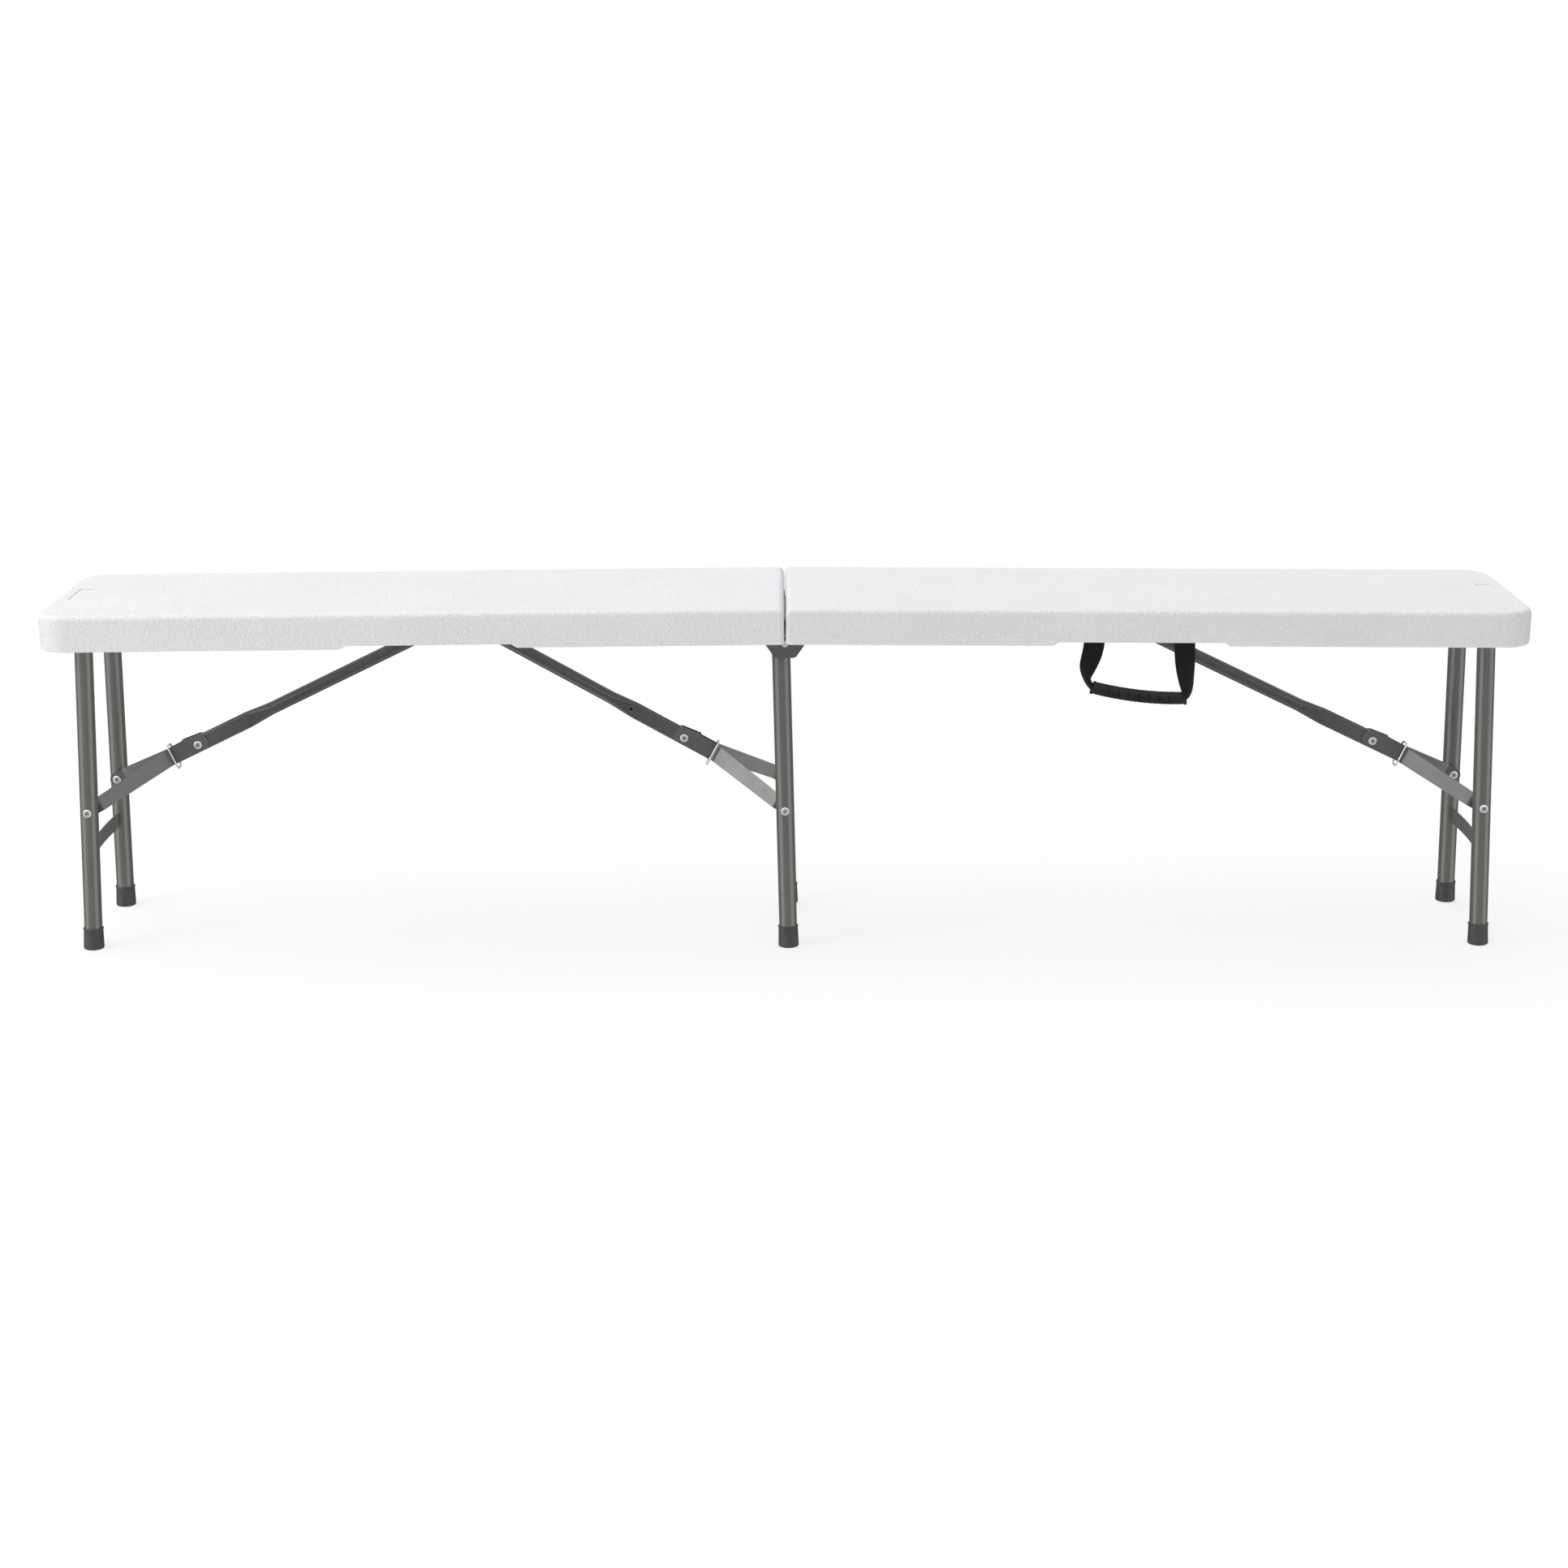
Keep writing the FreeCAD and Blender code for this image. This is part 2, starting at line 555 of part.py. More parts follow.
def slot_wire(along, width, height, y_shift):
    """Cross-section of a brace at one station: two half circles joined by straight flanks."""
    radius = width / 2
    flank = max(height / 2 - radius, 0.05)
    low_left, low_right = Vec(along, y_shift - radius, -flank), Vec(along, y_shift + radius, -flank)
    high_left, high_right = Vec(along, y_shift - radius, flank), Vec(along, y_shift + radius, flank)
    crown, keel = Vec(along, y_shift, flank + radius), Vec(along, y_shift, -flank - radius)
    return Part.Wire([Part.makeLine(low_right, high_right), Part.Arc(high_right, crown, high_left).toShape(),
                      Part.makeLine(high_left, low_left), Part.Arc(low_left, keel, low_right).toShape()])


def brace_body(stations, inset):
    """Runs of tube between stations (along, width, height, y), each a straight loft."""
    runs = []
    for start, end in zip(stations, stations[1:]):
        wires = [slot_wire(along, width - 2 * inset, height - 2 * inset, y)
                 for along, width, height, y in (start, end)]
        runs.append(Part.makeLoft(wires, True, True))
    return runs[0].fuse(runs[1:]) if len(runs) > 1 else runs[0]


def brace_tube(leg):
    """Tube with a crushed, drilled end at the bracket and a flattened stretch through the elbow."""
    length = brace_line(leg)[0]
    side_step = TAB_STEP[leg]
    flat_w, flat_h = BRACE_FLAT
    stations = [(TAB_LENGTH - 2, TAB[0], TAB[1], side_step),
                (TAB_LENGTH, TAB[0], TAB[1], side_step),
                (TAB_LENGTH + TAB_BLEND, BRACE_D, BRACE_D + 0.1, 0),
                (length - FLAT_LENGTH - FLAT_BLEND, BRACE_D, BRACE_D + 0.1, 0),
                (length - FLAT_LENGTH, flat_w, flat_h, 0),
                (length + BRACE_TAIL, flat_w, flat_h, 0)]
    tube = brace_body(stations, 0)
    bore_end = (length + BRACE_TAIL + 1, flat_w, flat_h, 0)
    tube = tube.cut(brace_body(stations[2:-1] + [bore_end], TUBE_WALL))
    y0, y1 = side_step - TAB[0] / 2, side_step + TAB[0] / 2
    tab = box(0, TAB_LENGTH, y0, y1, -TAB[1] / 2, TAB[1] / 2).fuse(rod_y(2 * TAB_END, 0, 0, y0, y1))
    tab = tab.cut(box(-TAB[1], TAB_END / 3, y0 - 1, y1 + 1, TAB_END, TAB[1]))
    tab = tab.cut(box(-TAB[1], TAB_END / 3, y0 - 1, y1 + 1, -TAB[1], -TAB_END))
    tube = tube.fuse(tab)
    bore = PIN_D + 2 * PIN_PLAY
    tube = tube.cut(rod_y(bore, 0, 0, -20, 20)).cut(rod_y(bore, length, 0, -20, 20))
    if leg == "middle":
        hole, from_elbow = DRAIN_HOLE
        tube = tube.cut(rod_y(hole, length - from_elbow, 0, *y_span(front_sign(LEGS[leg][1]), 0, 20)))
    return on_brace(tube.removeSplitter(), leg)


def brace_bracket(half):
    """Channel screwed under the seat: two cheeks that carry the brace pin."""
    reach, side = BRACKET_PLATE[0] / 2, BRACKET_PLATE[1] / 2
    base = box(BRACE_PIVOT - reach, BRACE_PIVOT + reach, -side, side, RECESS - STRAP, RECESS)
    base = base.makeFillet(BRACKET_CORNER, edges_where(base, lambda e: runs_along(e, AXIS_Z)))
    foot_half = CHEEK_FOOT / 2
    for sign in (-1, 1):
        y0, y1 = y_span(sign, CHEEK_GAP / 2, CHEEK_GAP / 2 + STRAP)
        cheek = prism_y([(BRACE_PIVOT - foot_half, RECESS - 1), (BRACE_PIVOT + foot_half, RECESS - 1),
                         (BRACE_PIVOT + CHEEK_R, BRACE_RISE), (BRACE_PIVOT - CHEEK_R, BRACE_RISE)], y0, y1)
        base = base.fuse([cheek, rod_y(2 * CHEEK_R, BRACE_PIVOT, BRACE_RISE, y0, y1)])
    for x, y in screw_places(half):
        base = base.cut(rod_z(SCREW_D, x, y, RECESS - STRAP - 1, RECESS + 1))
    return on_half(base.cut(rod_y(PIN_D, BRACE_PIVOT, BRACE_RISE, -20, 20)).removeSplitter(), half)


def brace_pin(half):
    face = CHEEK_GAP / 2 + STRAP
    pin = rod_y(PIN_D, BRACE_PIVOT, BRACE_RISE, -face, face)
    heads = [button_head(BRACE_PIVOT, BRACE_RISE, sign * face, sign) for sign in (-1, 1)]
    return on_half(pin.fuse(heads).removeSplitter(), half)


def arm_band(length, sign):
    """An arm seen from above, drawn far too tall: beside the elbow, spreading, beside the leg tube."""
    half_t = ARM_THICK / 2
    near, far = ARM_INNER + half_t, ARM_PAD_OUTER - half_t
    spread_end = length - ARM_SPREAD_END
    bends = [(-ARM_PAST_ELBOW, near), (ARM_PARALLEL, near), (spread_end, far), (length + PAD_RADIUS, far)]
    mitre = half_t * math.tan(math.atan2(far - near, spread_end - ARM_PARALLEL) / 2)
    shifts = (0, mitre, -mitre, 0)
    inner = [(x + shift, y - half_t) for (x, y), shift in zip(bends, shifts)]
    outer = [(x - shift, y + half_t) for (x, y), shift in zip(bends, shifts)]
    plan = [(x, sign * y) for x, y in inner + outer[::-1]]
    band = prism_z(plan, -30, 30)
    bends = edges_where(band, lambda e: runs_along(e, AXIS_Z) and 0 < e.CenterOfMass.x < length)
    return band.makeFillet(ARM_BEND, bends)


def yoke_arm(leg, sign):
    """Bent flat arm, rounded past the elbow, with a shoulder on its edge and a round pad at the leg."""
    length = YOKE[leg][0]
    low, high = ARM_LIFT - ARM_HEIGHT / 2, ARM_LIFT + ARM_HEIGHT / 2
    at, bump = SHOULDER
    sides = prism_y([(-ARM_PAST_ELBOW, low), (ARM_PARALLEL, low), (length, -PAD_RADIUS),
                     (length, PAD_RADIUS), (ARM_PARALLEL, high), (at + bump, high), (at, high + bump),
                     (-ARM_PAST_ELBOW, high - bump)], -90, 90)
    ends = edges_where(sides, lambda e: runs_along(e, AXIS_Y) and e.CenterOfMass.x < 0)
    sides = sides.makeFillet(ARM_END_ROUND, ends).fuse(rod_y(2 * PAD_RADIUS, length, 0, -90, 90))
    arm = arm_band(length, sign).common(sides.removeSplitter())
    arm = arm.cut(rod_y(PIN_D, 0, 0, -20, 20)).cut(rod_y(PIN_D, length, 0, -90, 90))
    return on_yoke(arm, leg)


def elbow_rivet(leg):
    face = ARM_INNER + ARM_THICK
    rivet = rod_y(PIN_D, 0, 0, -face, face)
    heads = [button_head(0, 0, sign * face, sign) for sign in (-1, 1)]
    return on_yoke(rivet.fuse(heads).removeSplitter(), leg)


def yoke_rivet(leg, sign):
    """Inner head of the rivet that joins an arm to its leg tube, with the shank inside the arm."""
    length = YOKE[leg][0]
    face = sign * (ARM_PAD_OUTER - ARM_THICK)
    shank = rod_y(PIN_D, length, 0, *sorted((face, sign * ARM_PAD_OUTER)))
    return on_yoke(shank.fuse(button_head(length, 0, face, -sign)).removeSplitter(), leg)


def lock_ring(leg):
    """Closed ring of round wire that slides along the brace and holds the elbow straight."""
    wire_r = RING_WIRE / 2
    half_w, half_h = RING_INSIDE[0] / 2 + wire_r, RING_INSIDE[1] / 2 + wire_r
    outline = box(0, 5, -half_w, half_w, -half_h, half_h)
    outline = outline.makeFillet(RING_BEND, edges_where(outline, lambda e: runs_along(e, Vec(1, 0, 0))))
    face = [f for f in outline.Faces if abs(f.CenterOfMass.x) < 1e-6][0]
    start = Vec(0, half_w, 0)
    section = Part.Wire(Part.makeCircle(wire_r, start, AXIS_Z))
    ring = Part.Wire(face.OuterWire).makePipeShell([section], True, True)
    ring.rotate(Vec(0, 0, 0), AXIS_Y, -RING_TILT)
    length = brace_line(leg)[0]
    ring.translate(Vec(length + RING_AT[leg], 0, 0))
    return on_brace(ring, leg)


# ---- centre hinge -------------------------------------------------------------------------------


def hinge_leaf(half, sign):
    """Leaf on one half: a plate beside the pin, and a flange screwed up under the seat."""
    leaf = prism_y(LEAF_SHAPE, *y_span(sign, LEAF_Y[half], LEAF_Y[half] + LEAF))
    soft = edges_where(leaf, lambda e: runs_along(e, AXIS_Y) and e.CenterOfMass.z < 7)
    leaf = leaf.makeFillet(LEAF_ROUND, soft)
    start, end, width = LEAF_FLANGE
    f0, f1 = y_span(sign, LEAF_Y[half] - width, LEAF_Y[half] + 1)
    leaf = leaf.fuse(box(start, end, f0, f1, RECESS - STRAP, RECESS))
    play = PIN_PLAY if half > 0 else 0.0
    leaf = leaf.cut(rod_y(HINGE_PIN_D + 2 * play, *hinge_centre(), *y_span(sign, 60, 120)))
    for x, y in screw_places(half):
        leaf = leaf.cut(rod_z(SCREW_D, x, y, RECESS - STRAP - 1, RECESS + 1))
    return on_half(leaf.removeSplitter(), half)


def hinge_centre():
    """Hinge pin in a half's own frame; both halves' pins meet on the plane of the split."""
    return HINGE_DROP * math.tan(math.radians(CAMBER)), -HINGE_DROP


def hinge_pins():
    """Short pins, pressed into the left leaves, that the right leaves turn on."""
    def pin(sign):
        return rod_y(HINGE_PIN_D, *hinge_centre(), *y_span(sign, LEAF_Y[-1], LEAF_Y[1] + LEAF))
    return on_half(both_sides(pin), -1)


# ---- carry handle -------------------------------------------------------------------------------


def handle_tabs():
    """Ends of the webbing, doubled and screwed flat to the inside of the front rim."""
    def tab(x):
        cloth = box(x - WEB[0] / 2, x + WEB[0] / 2, -PAN_FACE, -PAN_FACE + WEB[1],
                    HANDLE_RISE + WEB[1] / 2 + TAB_PLAY, HANDLE_SCREW_RISE + TAB_ABOVE_SCREW)
        return cloth.cut(rod_y(SCREW_D, x, HANDLE_SCREW_RISE, -PAN_FACE - 1, -PAN_FACE + 3))
    return on_half(Part.makeCompound([tab(x) for x in HANDLE_X]), 1)


def handle_screws():
    def screw(x):
        face = -PAN_FACE + WEB[1]
        head = rod_y(SCREW_HEAD[0] + 2, x, HANDLE_SCREW_RISE, face, face + SCREW_HEAD[1])
        head = head.makeFillet(SCREW_EDGE, edges_where(head, lambda e: e.CenterOfMass.y > face + 2))
        return head.fuse(rod_y(SCREW_D, x, HANDLE_SCREW_RISE, -PAN_FACE - SCREW_GRIP, face)).removeSplitter()
    return on_half(Part.makeCompound([screw(x) for x in HANDLE_X]), 1)


def grip_solid(extra):
    """The finger grip, a bowed round bar."""
    start, lowest, end = [Vec(x, HANDLE_Y, drop) for x, drop in GRIP_LINE]
    bow = Part.Arc(start, lowest, end).toShape()
    along = bow.tangentAt(bow.FirstParameter)
    section = Part.Wire(Part.makeCircle(GRIP_D / 2 + extra, start, along))
    return Part.Wire([bow]).makePipeShell([section], True, True)


def handle_webbing():
    """The two hanging straps, each drawn in towards its end of the grip."""
    half_w, half_t = WEB[0] / 2, WEB[1] / 2

    def strap(x, left_edge, right_edge):
        outline = [(x - half_w, HANDLE_RISE)] + left_edge + right_edge + [(x + half_w, HANDLE_RISE)]
        cloth = prism_y(outline, HANDLE_Y - half_t, HANDLE_Y + half_t)
        roll = Part.makeCylinder(half_t, WEB[0], Vec(x - half_w, HANDLE_Y, HANDLE_RISE), Vec(1, 0, 0))
        pieces = cloth.fuse(roll).cut(grip_solid(0.01)).Solids
        return max(pieces, key=lambda solid: solid.Volume)
    return on_half(Part.makeCompound([strap(HANDLE_X[0], *STRAP_EDGES[:2]),
                                      strap(HANDLE_X[1], *STRAP_EDGES[2:])]), 1)


# ---- export -------------------------------------------------------------------------------------


def leg_nodes(leg):
    """Every piece of one leg frame and its brace."""
    side = LEGS[leg][1]
    front, rear = front_sign(side), -front_sign(side)
    return {
        f"{leg}_front_tube": leg_tube(leg, front),
        f"{leg}_rear_tube": leg_tube(leg, rear),
        f"{leg}_cross_bar": cross_bar(leg),
        f"{leg}_axle": leg_axle(leg),
        f"{leg}_feet": both_sides(lambda sign: foot(leg, sign)),
        f"{leg}_leg_rivets": both_sides(lambda sign: leg_rivet(leg, sign)),
        f"{leg}_axle_saddles": axle_saddles(leg),
        f"{leg}_brace_tube": brace_tube(leg),
        f"{leg}_yoke_front_arm": yoke_arm(leg, front),
        f"{leg}_yoke_rear_arm": yoke_arm(leg, rear),
        f"{leg}_elbow_rivet": elbow_rivet(leg),
        f"{leg}_yoke_rivets": both_sides(lambda sign: yoke_rivet(leg, sign)),
        f"{leg}_lock_ring": lock_ring(leg),
    }


def seat_nodes(name, half):
    return {
        f"{name}_top": seat_half(half),
        f"{name}_panel_screws": panel_screws(half),
        f"{name}_brace_bracket": brace_bracket(half),
        f"{name}_brace_pin": brace_pin(half),
        f"{name}_hinge_leaf_front": hinge_leaf(half, front_sign(half)),
        f"{name}_hinge_leaf_rear": hinge_leaf(half, -front_sign(half)),
    }


def build():
    nodes = {}
    nodes.update(seat_nodes("left", -1))
    nodes.update(seat_nodes("right", 1))
    for leg in LEGS:
        nodes.update(leg_nodes(leg))
    nodes["hinge_pins"] = hinge_pins()
    nodes["handle_tabs"] = handle_tabs()
    nodes["handle_screws"] = handle_screws()
    nodes["handle_webbing"] = handle_webbing()
    nodes["handle_grip"] = on_half(grip_solid(0), 1)
    return nodes


os.makedirs("parts", exist_ok=True)
for node, shape in build().items():
    solids = len(shape.Solids)
    print(f"{node:26s} solids {solids:3d} volume {shape.Volume:11.0f} valid {shape.isValid()}")
    shape.exportStep(f"parts/{node}.step")
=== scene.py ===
import json
import math

import bpy
from mathutils import Matrix, Vector


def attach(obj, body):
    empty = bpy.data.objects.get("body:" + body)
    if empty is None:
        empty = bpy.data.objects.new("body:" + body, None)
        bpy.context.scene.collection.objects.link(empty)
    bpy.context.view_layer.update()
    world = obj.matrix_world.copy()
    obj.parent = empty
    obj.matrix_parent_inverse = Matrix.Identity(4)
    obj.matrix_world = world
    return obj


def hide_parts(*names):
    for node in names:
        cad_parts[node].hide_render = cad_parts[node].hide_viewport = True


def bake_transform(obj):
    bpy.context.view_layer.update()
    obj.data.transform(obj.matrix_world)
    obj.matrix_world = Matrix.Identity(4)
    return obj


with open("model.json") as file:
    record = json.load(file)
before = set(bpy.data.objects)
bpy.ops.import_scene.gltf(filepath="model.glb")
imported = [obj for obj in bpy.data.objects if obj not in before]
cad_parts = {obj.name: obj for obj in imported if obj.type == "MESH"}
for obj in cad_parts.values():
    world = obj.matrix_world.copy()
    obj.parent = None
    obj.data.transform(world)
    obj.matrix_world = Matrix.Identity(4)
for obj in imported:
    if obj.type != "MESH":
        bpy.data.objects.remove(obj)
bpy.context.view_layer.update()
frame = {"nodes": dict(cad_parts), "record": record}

# Looks of the fold-in-half bench: moulded seat with a leather grain, powder coated leg frames, plated
# rivets, screws and lock rings, rubber feet, and a webbing handle with a moulded finger grip.
# The scene is in metres; the handle is laid out in millimetres in the right half's own frame.

MM = 0.001
CAMBER = math.radians(0.444)   # each seat half falls away from the split by this angle
RIM_Z = 0.400                  # lower edge of the seat at the split
MIX_COLOURS, MIX_RESULT = (6, 7), 2    # colour sockets of a Mix node, which shares its names between types

# ---- material helpers ---------------------------------------------------------------------------


def new_material(name, colour, roughness, metallic=0.0):
    material = bpy.data.materials.new(name)
    material.use_nodes = True
    shader = material.node_tree.nodes["Principled BSDF"]
    shader.inputs["Base Color"].default_value = (*colour, 1)
    shader.inputs["Roughness"].default_value = roughness
    shader.inputs["Metallic"].default_value = metallic
    return material, material.node_tree, shader


def add(tree, kind, **settings):
    """A node, with its properties and the values of its sockets set by name."""
    node = tree.nodes.new(kind)
    for key, value in settings.items():
        socket = key.replace("_", " ").title()
        if socket in node.inputs:
            node.inputs[socket].default_value = value
        else:
            setattr(node, key, value)
    return node


def object_place(tree, stretch=(1, 1, 1)):
    """Object coordinates, stretched: a bigger number makes the pattern finer along that axis."""
    place = tree.nodes.new("ShaderNodeTexCoord")
    mapping = tree.nodes.new("ShaderNodeMapping")
    mapping.inputs["Scale"].default_value = stretch
    tree.links.new(place.outputs["Object"], mapping.inputs["Vector"])
    return mapping.outputs["Vector"]


def noise(tree, vector, scale, detail=4.0, roughness=0.55):
    node = add(tree, "ShaderNodeTexNoise", scale=scale, detail=detail, roughness=roughness)
    tree.links.new(vector, node.inputs["Vector"])
    return node.outputs["Fac"]


def ramp(tree, value, stops):
    """Colour ramp: stops are (place, colour)."""
    node = tree.nodes.new("ShaderNodeValToRGB")
    tree.links.new(value, node.inputs["Fac"])
    elements = node.color_ramp.elements
    while len(elements) < len(stops):
        elements.new(0.5)
    for element, (place, colour) in zip(elements, stops):
        element.position = place
        element.color = (*colour, 1)
    return node.outputs["Color"]


def grey(level):
    return (level, level, level)


def bump(tree, height, strength, distance, normal=None):
    node = add(tree, "ShaderNodeBump", strength=strength, distance=distance)
    tree.links.new(height, node.inputs["Height"])
    if normal is not None:
        tree.links.new(normal, node.inputs["Normal"])
    return node.outputs["Normal"]


def mix_colour(tree, factor, first, second):
    node = tree.nodes.new("ShaderNodeMix")
    node.data_type = "RGBA"
    tree.links.new(factor, node.inputs["Factor"])
    for index, colour in zip(MIX_COLOURS, (first, second)):
        if isinstance(colour, tuple):
            node.inputs[index].default_value = (*colour, 1)
        else:
            tree.links.new(colour, node.inputs[index])
    return node.outputs[MIX_RESULT]


def pointiness(tree, low, high):
    """0 on flats and hollows, 1 on sharp outer edges, where a coating wears."""
    geometry = tree.nodes.new("ShaderNodeNewGeometry")
    return ramp(tree, geometry.outputs["Pointiness"], [(low, grey(0)), (high, grey(1))])


# ---- materials ----------------------------------------------------------------------------------


def seat_plastic():
    """Off-white moulded polyethylene: pebbled leather grain with painted shade in its pits, faint mottling,
    scuffs in its gloss.
    """
    material, tree, shader = new_material("seat_plastic", (0.86, 0.86, 0.88), 0.5)
    place = object_place(tree)
    cells = add(tree, "ShaderNodeTexVoronoi", feature="SMOOTH_F1", scale=420.0, smoothness=0.5)
    warp = add(tree, "ShaderNodeTexNoise", scale=160.0, detail=2.0)
    tree.links.new(place, warp.inputs["Vector"])
    shifted = add(tree, "ShaderNodeVectorMath", operation="MULTIPLY_ADD")
    tree.links.new(warp.outputs["Color"], shifted.inputs[0])
    shifted.inputs[1].default_value = (0.003, 0.003, 0.003)
    tree.links.new(place, shifted.inputs[2])
    tree.links.new(shifted.outputs["Vector"], cells.inputs["Vector"])
    fine = bump(tree, cells.outputs["Distance"], 0.8, 0.0010)
    broad = bump(tree, noise(tree, place, 95.0, 4.0, 0.5), 0.3, 0.0012, fine)
    tree.links.new(broad, shader.inputs["Normal"])
    cloud = noise(tree, place, 9.0, 3.0)
    tone = ramp(tree, cloud, [(0.3, (0.795, 0.793, 0.812)), (0.7, (0.825, 0.823, 0.845))])
    # painted shade: the colour is darker in the pits of the grain, where the bump is lowest
    painted_pit_shade = ramp(tree, cells.outputs["Distance"], [(0.0, grey(0.90)), (0.45, grey(1.0))])
    # the random mottling multiplied by the painted shade in the pits
    mottle_and_pit_shade = tree.nodes.new("ShaderNodeMix")
    mottle_and_pit_shade.data_type = "RGBA"
    mottle_and_pit_shade.blend_type = "MULTIPLY"
    mottle_and_pit_shade.inputs["Factor"].default_value = 0.7
    for index, colour in zip(MIX_COLOURS, (tone, painted_pit_shade)):
        tree.links.new(colour, mottle_and_pit_shade.inputs[index])
    tree.links.new(mottle_and_pit_shade.outputs[MIX_RESULT], shader.inputs["Base Color"])
    scuffs = noise(tree, object_place(tree, (3, 14, 14)), 6.0, 6.0, 0.6)
    tree.links.new(ramp(tree, scuffs, [(0.3, grey(0.42)), (0.75, grey(0.58))]), shader.inputs["Roughness"])
    shader.inputs["Specular IOR Level"].default_value = 0.42
    shader.inputs["Subsurface Weight"].default_value = 0.04
    shader.inputs["Subsurface Radius"].default_value = (0.004, 0.004, 0.004)
    return material


def powder_coat(name, dark, light):
    """Satin powder coat on steel: fine orange peel, warm grey with long streaks, paler on worn edges."""
    material, tree, shader = new_material(name, light, 0.4)
    place = object_place(tree)
    peel = bump(tree, noise(tree, place, 620.0, 2.0), 0.22, 0.0005)
    tree.links.new(bump(tree, noise(tree, place, 75.0, 3.0), 0.10, 0.0015, peel), shader.inputs["Normal"])
    streaks = noise(tree, object_place(tree, (60, 60, 4)), 3.0, 5.0)
    tone = ramp(tree, streaks, [(0.3, dark), (0.7, light)])
    flecks = ramp(tree, noise(tree, place, 380.0, 3.0, 0.7), [(0.62, grey(0)), (0.76, grey(0.35))])
    spotted = mix_colour(tree, flecks, tone, tuple(2.2 * c for c in light))
    worn = mix_colour(tree, pointiness(tree, 0.54, 0.66), spotted, tuple(2.6 * c for c in light))
    tree.links.new(worn, shader.inputs["Base Color"])
    rub = ramp(tree, noise(tree, place, 46.0, 5.0), [(0.3, grey(0.26)), (0.7, grey(0.38))])
    tree.links.new(rub, shader.inputs["Roughness"])
    shader.inputs["Specular IOR Level"].default_value = 0.75
    shader.inputs["Coat Weight"].default_value = 0.5
    shader.inputs["Coat Roughness"].default_value = 0.2
    return material


def plated_steel():
    """Zinc plate: bright, slightly uneven, dull in spots and darkened with painted shade in its hollows."""
    material, tree, shader = new_material("plated_steel", (0.74, 0.74, 0.75), 0.24, 0.8)
    place = object_place(tree)
    tone = ramp(tree, noise(tree, place, 260.0, 4.0), [(0.3, (0.66, 0.66, 0.66)), (0.7, (0.86, 0.86, 0.87))])
    geometry = tree.nodes.new("ShaderNodeNewGeometry")
    # painted shade: the plate's colour goes nearly black in its hollows, where shade falls
    hollow = ramp(tree, geometry.outputs["Pointiness"], [(0.42, grey(1)), (0.492, grey(0))])
    tone_and_hollow_shade = mix_colour(tree, hollow, tone, (0.06, 0.058, 0.055))
    tree.links.new(tone_and_hollow_shade, shader.inputs["Base Color"])
    dull = ramp(tree, noise(tree, place, 420.0, 5.0), [(0.35, grey(0.2)), (0.7, grey(0.38))])
    tree.links.new(dull, shader.inputs["Roughness"])
    tree.links.new(bump(tree, noise(tree, place, 900.0, 2.0), 0.1, 0.0003), shader.inputs["Normal"])
    return material


def foot_rubber():
    """Matt black rubber with dusty, paler patches here and there."""
    material, tree, shader = new_material("foot_rubber", (0.045, 0.045, 0.047), 0.62)
    place = object_place(tree)
    dust = noise(tree, place, 140.0, 6.0, 0.65)
    tone = ramp(tree, dust, [(0.35, (0.035, 0.035, 0.037)), (0.75, (0.075, 0.074, 0.072))])
    tree.links.new(tone, shader.inputs["Base Color"])
    tree.links.new(ramp(tree, dust, [(0.3, grey(0.5)), (0.8, grey(0.75))]), shader.inputs["Roughness"])
    tree.links.new(bump(tree, noise(tree, place, 700.0, 3.0), 0.25, 0.0005), shader.inputs["Normal"])
    return material


def webbing_cloth():
    """Black polypropylene webbing: rows of coarse flat yarns across it, lengthwise ribs, a little sheen."""
    material, tree, shader = new_material("webbing_cloth", (0.012, 0.012, 0.013), 0.62)
    across = add(tree, "ShaderNodeTexWave", scale=1.0, distortion=0.6)
    across.bands_direction = "X"
    tree.links.new(object_place(tree, (260, 260, 260)), across.inputs["Vector"])
    along = add(tree, "ShaderNodeTexWave", scale=1.0, distortion=0.6)
    along.bands_direction = "Z"
    tree.links.new(object_place(tree, (210, 210, 210)), along.inputs["Vector"])
    weave = add(tree, "ShaderNodeMath", operation="MULTIPLY")
    tree.links.new(across.outputs["Fac"], weave.inputs[0])
    tree.links.new(along.outputs["Fac"], weave.inputs[1])
    fuzz = bump(tree, noise(tree, object_place(tree), 1500.0, 3.0), 0.25, 0.0003)
    tree.links.new(bump(tree, weave.outputs["Value"], 0.8, 0.0007, fuzz), shader.inputs["Normal"])
    # painted shade: the colour is darker in the hollows of the weave and lighter on the raised yarns
    tone = ramp(tree, weave.outputs["Value"], [(0.0, (0.005, 0.005, 0.006)), (1.0, (0.020, 0.020, 0.022))])
    tree.links.new(tone, shader.inputs["Base Color"])
    rub = ramp(tree, weave.outputs["Value"], [(0.0, grey(0.8)), (1.0, grey(0.5))])
    tree.links.new(rub, shader.inputs["Roughness"])
    shader.inputs["Specular IOR Level"].default_value = 0.15
    shader.inputs["Sheen Weight"].default_value = 0.08
    shader.inputs["Sheen Roughness"].default_value = 0.4
    return material


